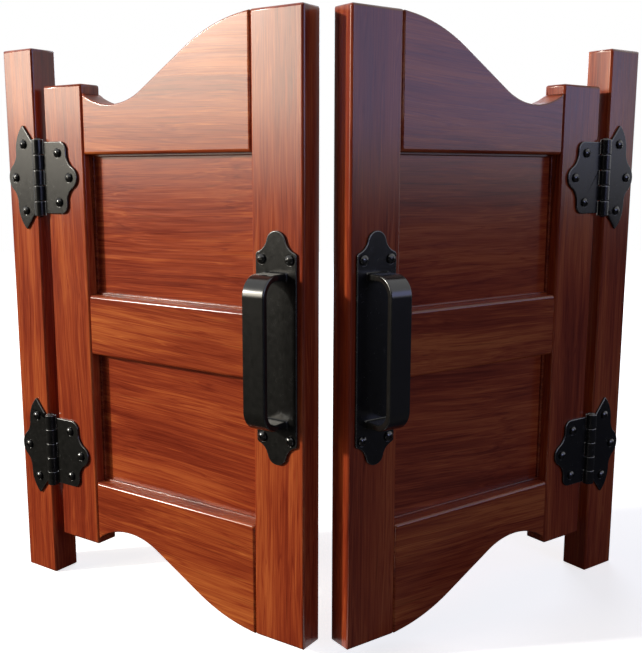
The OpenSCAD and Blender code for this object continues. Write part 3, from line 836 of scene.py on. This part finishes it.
def screw_head(tree, given):
    """A dome on a low rim, with two crossed slots."""
    height = given["Head height"]
    rim = rod(tree, given["Head radius"], height, ROUND_STEPS)
    ball = add(tree, "GeometryNodeMeshUVSphere", {
        "Segments": ROUND_STEPS, "Rings": ROUND_STEPS, "Radius": given["Dome radius"],
    }).outputs["Mesh"]
    sunk = math_node(tree, "SUBTRACT", height, given["Dome radius"])
    dome = add(tree, "GeometryNodeMeshBoolean", operation="INTERSECT", solver="EXACT")
    tree.links.new(raised(tree, rim, math_node(tree, "MULTIPLY", height, HALF)), dome.inputs["Mesh 2"])
    tree.links.new(raised(tree, ball, sunk), dome.inputs["Mesh 2"])
    whole = {"Mesh 1": dome.outputs["Mesh"]}
    slotted = add(tree, "GeometryNodeMeshBoolean", whole, operation="DIFFERENCE", solver="EXACT")
    deep = math_node(tree, "MULTIPLY", given["Slot depth"], 2.0)
    for first, second in (("Slot length", "Slot width"), ("Slot width", "Slot length")):
        size = add(tree, "ShaderNodeCombineXYZ", {0: given[first], 1: given[second], 2: deep}).outputs[0]
        bar = add(tree, "GeometryNodeMeshCube", {"Size": size}).outputs["Mesh"]
        tree.links.new(raised(tree, bar, height), slotted.inputs["Mesh 2"])
    return slotted.outputs["Mesh"]


print("the dome is part of a ball of", round(DOME_R / MM, 2), "mm radius")

# %% Whole screw
SHANK_STEPS = 16


def whole_screw(tree, given):
    """A head and its shank, with the top of the head at the origin."""
    shank = rod(tree, given["Shank radius"], given["Shank length"], SHANK_STEPS)
    screw = add(tree, "GeometryNodeJoinGeometry")
    tree.links.new(screw_head(tree, given), screw.inputs[0])
    below = math_node(tree, "MULTIPLY", given["Shank length"], -HALF)
    tree.links.new(raised(tree, shank, below), screw.inputs[0])
    return raised(tree, screw.outputs[0], math_node(tree, "MULTIPLY", given["Head height"], -1.0))


print("shank:", round(SCREW_INPUTS["Shank length"] / MM, 1), "mm long")

# %% [markdown]
# ## Screws: all of them
# A screw has to stand on every place that was found, along the way that its leaf faces, and each stops at a
# turn of its own, as screws do that are driven by hand. Instances do that from one screw. They are made
# real at the end, because an export keeps only real meshes, and each body gets one mesh, so that the screws
# move with it.

# %% Screw tree
TWIST_SEED = 7
QUARTER_TURN = math.pi / 2


def screw_tree():
    """A geometry tree that sets a screw at every vertex, along the vertex's front attribute."""
    tree = bpy.data.node_groups.new("domed_screws", "GeometryNodeTree")
    tree.interface.new_socket("Geometry", in_out="INPUT", socket_type="NodeSocketGeometry")
    for name, value in SCREW_INPUTS.items():
        socket = tree.interface.new_socket(name, in_out="INPUT", socket_type="NodeSocketFloat")
        socket.default_value = value
    tree.interface.new_socket("Finish", in_out="INPUT", socket_type="NodeSocketMaterial")
    tree.interface.new_socket("Geometry", in_out="OUTPUT", socket_type="NodeSocketGeometry")
    given = add(tree, "NodeGroupInput").outputs

    outward = add(tree, "GeometryNodeInputNamedAttribute", {"Name": "front"}, data_type="FLOAT_VECTOR")
    outward = outward.outputs["Attribute"]
    facing = add(tree, "FunctionNodeAlignRotationToVector", {"Vector": outward}, axis="Z")
    twist = add(tree, "FunctionNodeRandomValue", {"Seed": TWIST_SEED, 3: QUARTER_TURN}, data_type="FLOAT")
    spin = add(tree, "FunctionNodeAxisAngleToRotation", {"Axis": UP, "Angle": twist.outputs[1]})
    turned = add(tree, "FunctionNodeRotateRotation", {
        "Rotation": facing.outputs[0], "Rotate By": spin.outputs[0],
    }, rotation_space="LOCAL")
    placed = add(tree, "GeometryNodeInstanceOnPoints", {
        "Points": given["Geometry"], "Instance": whole_screw(tree, given), "Rotation": turned.outputs[0],
    })
    real = add(tree, "GeometryNodeRealizeInstances", {"Geometry": placed.outputs[0]})
    finished = add(tree, "GeometryNodeSetMaterial", {
        "Geometry": real.outputs[0], "Material": given["Finish"],
    })
    add(tree, "NodeGroupOutput", {"Geometry": finished.outputs[0]})
    return tree


screws = screw_tree()
print("screw tree:", len(screws.nodes), "nodes")

# %% Screws, one mesh for each body
SCREW_ROUND, SCREW_STEPS = 0.3 * MM, 3
finish_socket = next(item.identifier for item in screws.interface.items_tree if item.name == "Finish")
for body, places in screw_places.items():
    points = bpy.data.meshes.new(f"{body}_screw_places")
    points.from_pydata([tip for tip, _ in places], [], [])
    outwards = points.attributes.new("front", "FLOAT_VECTOR", "POINT")
    outwards.data.foreach_set("vector", [value for _, outward in places for value in outward])
    maker = bpy.data.objects.new(f"{body}_screw_maker", points)
    scene.collection.objects.link(maker)
    modifier = maker.modifiers.new("screws", "NODES")
    modifier.node_group = screws
    modifier[finish_socket] = iron["screw"]
    evaluated = maker.evaluated_get(bpy.context.evaluated_depsgraph_get())
    mesh = bpy.data.meshes.new_from_object(evaluated)
    bpy.data.objects.remove(maker)
    mesh.shade_smooth()
    piece = bpy.data.objects.new(f"{body}_screws", mesh)
    scene.collection.objects.link(piece)
    round_edges(piece, "ANGLE", SCREW_ROUND, SCREW_STEPS)
    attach(piece, body)
    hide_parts(*screw_nodes[body])
    print(piece.name, "has", len(mesh.polygons), "faces")
